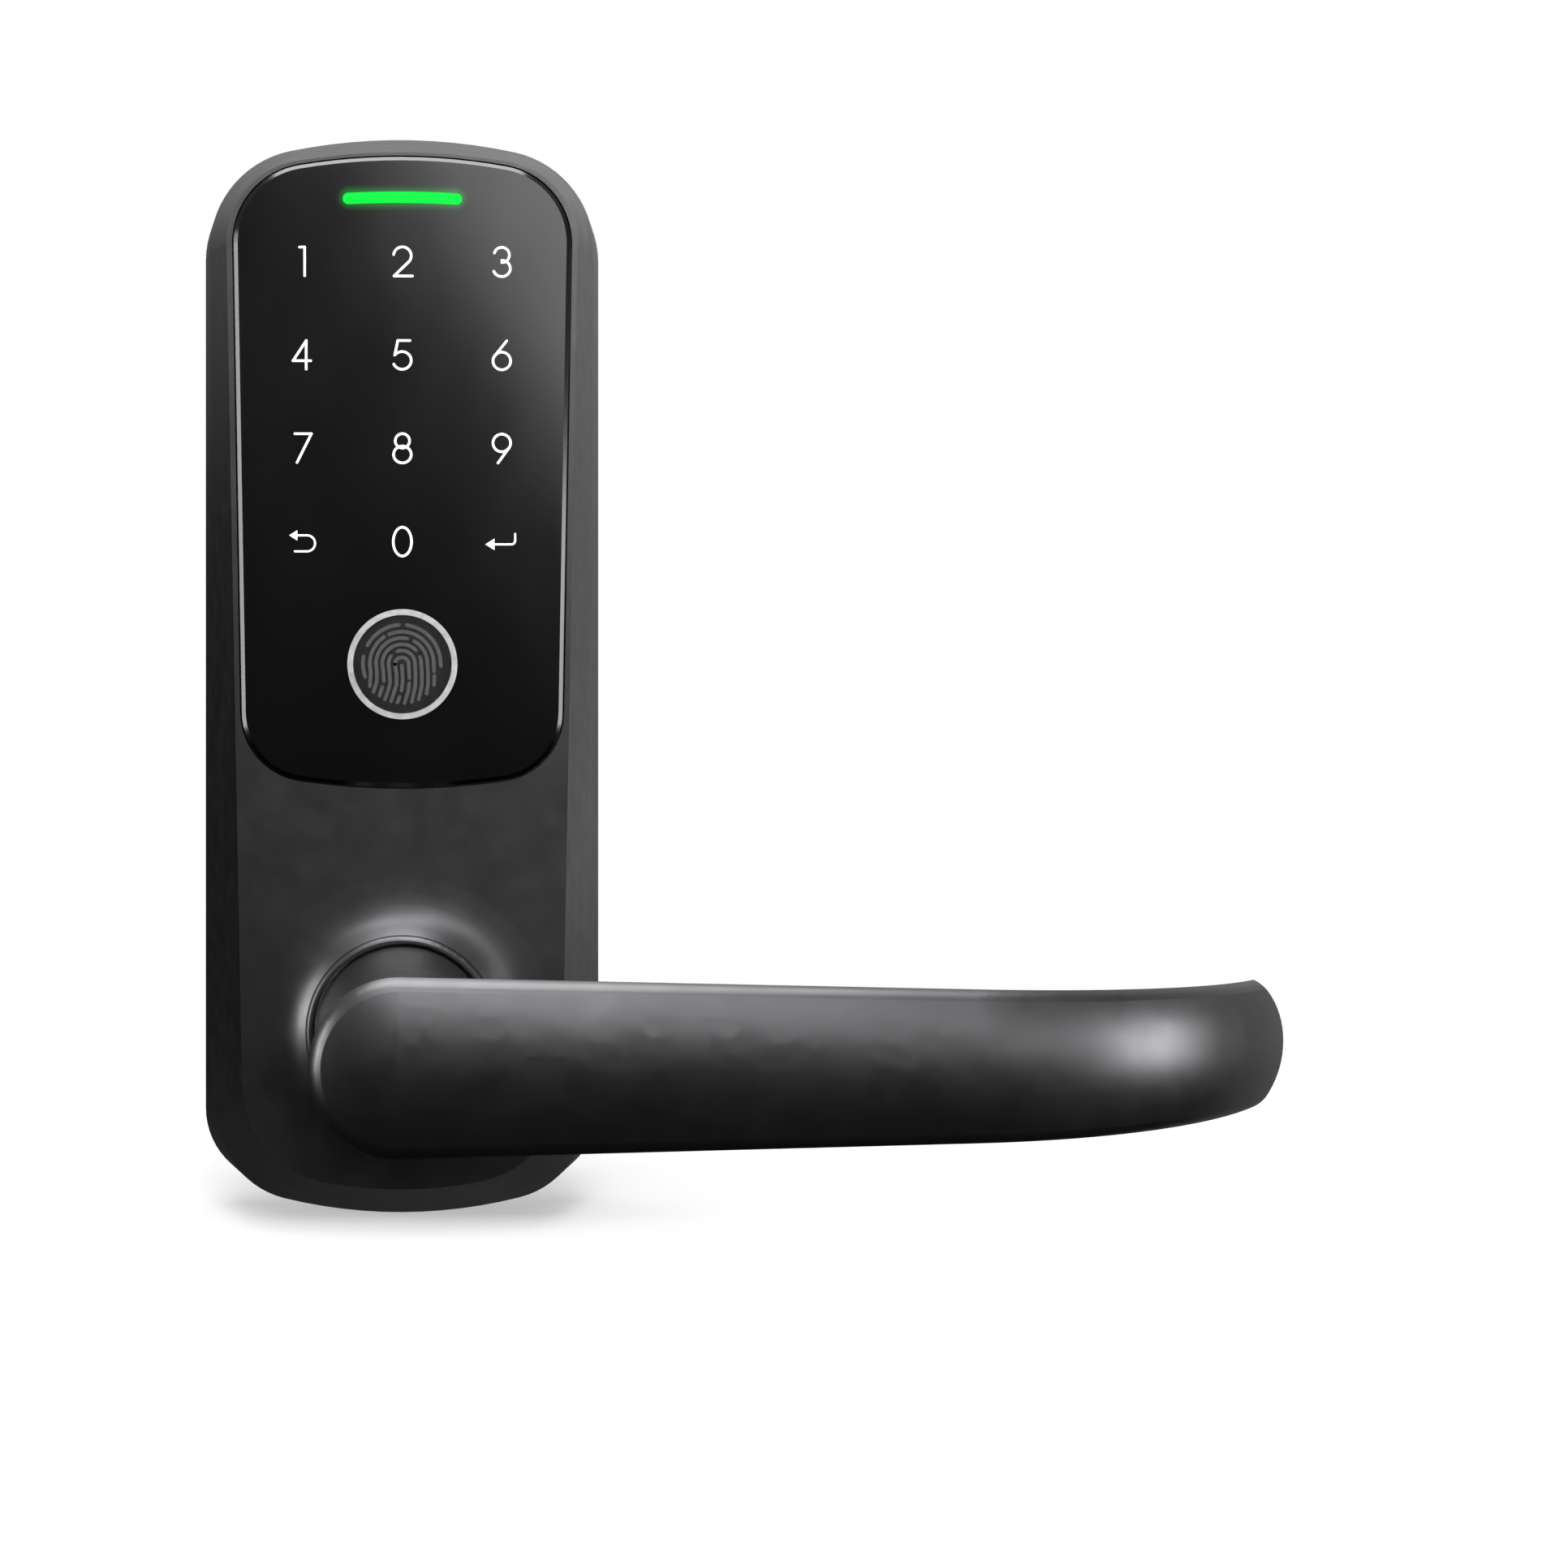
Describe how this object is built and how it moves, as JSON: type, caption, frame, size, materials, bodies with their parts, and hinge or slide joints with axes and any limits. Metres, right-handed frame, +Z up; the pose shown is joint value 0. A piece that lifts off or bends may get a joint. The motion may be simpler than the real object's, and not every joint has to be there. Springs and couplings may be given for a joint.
{
  "type": "keypad smart lock",
  "caption": "Outdoor half of a keypad lever lock: tapered escutcheon with a touch keypad, fingerprint reader and a return lever that drives a square spindle through a motor clutch.",
  "frame": {"origin": "where the axis of the lever and spindle meets the face of the door", "axes": "+X along the lever, +Y into the door, +Z up; the keypad faces -Y"},
  "size_m": [0.1662, 0.1155, 0.1759],
  "materials": {
    "cast_finish": "satin black-nickel plated zinc",
    "lens_black": "polished black",
    "seal_rubber": "matt",
    "light_green": "lit green",
    "ring_steel": "circular brushed",
    "reader_glass": "polished",
    "black_nylon": "fine moulded",
    "spring_steel": "drawn",
    "guide_white": "milky",
    "board_green": "solder mask",
    "lamp_white": "clear moulded",
    "chip_black": "moulded",
    "socket_white": "moulded",
    "screw_steel": "zinc plated",
    "zinc_plate": "zinc plated",
    "turned_steel": "turned",
    "black_oxide": "black oxide",
    "bush_polymer": "acetal",
    "washer_brass": "rolled",
    "can_steel": "drawn"
  },
  "bodies": {
    "root": {"escutcheon": "cast_finish", "door_gasket": "seal_rubber", "cover_lens": "lens_black", "lens_seal": "seal_rubber", "light_bar": "light_green", "reader_ring": "ring_steel", "reader_pad": "reader_glass", "reader_module": "black_nylon", "reader_clip": "spring_steel", "light_guide": "guide_white", "touch_board": "board_green", "board_carrier": "black_nylon", "board_lamps": "lamp_white", "board_chips": "chip_black", "buzzer": "chip_black", "cable_socket": "socket_white", "plate_screws": "screw_steel", "stack_screws": "screw_steel", "rear_plate": "zinc_plate", "bore_spigot": "black_nylon", "left_fixing_post": "turned_steel", "right_fixing_post": "turned_steel", "cable_grommet": "seal_rubber", "neck_bush": "bush_polymer", "thrust_washer": "washer_brass", "stop_ring": "zinc_plate", "return_spring": "spring_steel", "slider_guide": "zinc_plate", "clutch_motor": "can_steel", "motor_bracket": "zinc_plate", "bracket_screws": "screw_steel"},
    "lever": {"lever_handle": "cast_finish", "lever_set_screw": "black_oxide", "lever_shank": "turned_steel", "shank_circlip": "spring_steel", "lever_hub": "zinc_plate", "clutch_spring": "spring_steel"},
    "spindle": {"drive_sleeve": "turned_steel", "square_spindle": "zinc_plate", "spindle_pin": "spring_steel"},
    "pin": {"clutch_pin": "turned_steel"},
    "slider": {"clutch_slider": "bush_polymer"},
    "screw": {"motor_screw": "turned_steel"}
  },
  "joints": [
    {"name": "lever_turn", "type": "hinge", "parent": "root", "child": "lever", "pos_m": [0, 0, 0], "axis": [0, 1, 0], "range_deg": [0, 50], "stiffness_Nm_per_rad": 1.2, "springref_deg": -34.38, "deforming": ["return_spring"]},
    {"name": "spindle_turn", "type": "hinge", "parent": "root", "child": "spindle", "pos_m": [0, 0, 0], "axis": [0, 1, 0], "range_deg": [0, 50]},
    {"name": "slider_shift", "type": "slide", "parent": "root", "child": "slider", "axis": [0, 0, 1], "range_m": [0, 0.0026]},
    {"name": "pin_shift", "type": "slide", "parent": "lever", "child": "pin", "axis": [0, 0, 1], "range_m": [0, 0.0026], "deforming": ["clutch_spring"]},
    {"name": "screw_spin", "type": "hinge", "parent": "root", "child": "screw", "pos_m": [0, -0.01, 0.03], "axis": [0, 0, 1], "range_deg": [0, 720.1]}
  ],
  "couplings": [
    {"joint": "spindle_turn", "follows": "lever_turn", "ratio": 1},
    {"joint": "pin_shift", "follows": "slider_shift", "ratio": 1},
    {"joint": "screw_spin", "follows": "slider_shift", "rad_per_m": 4833.2}
  ]
}
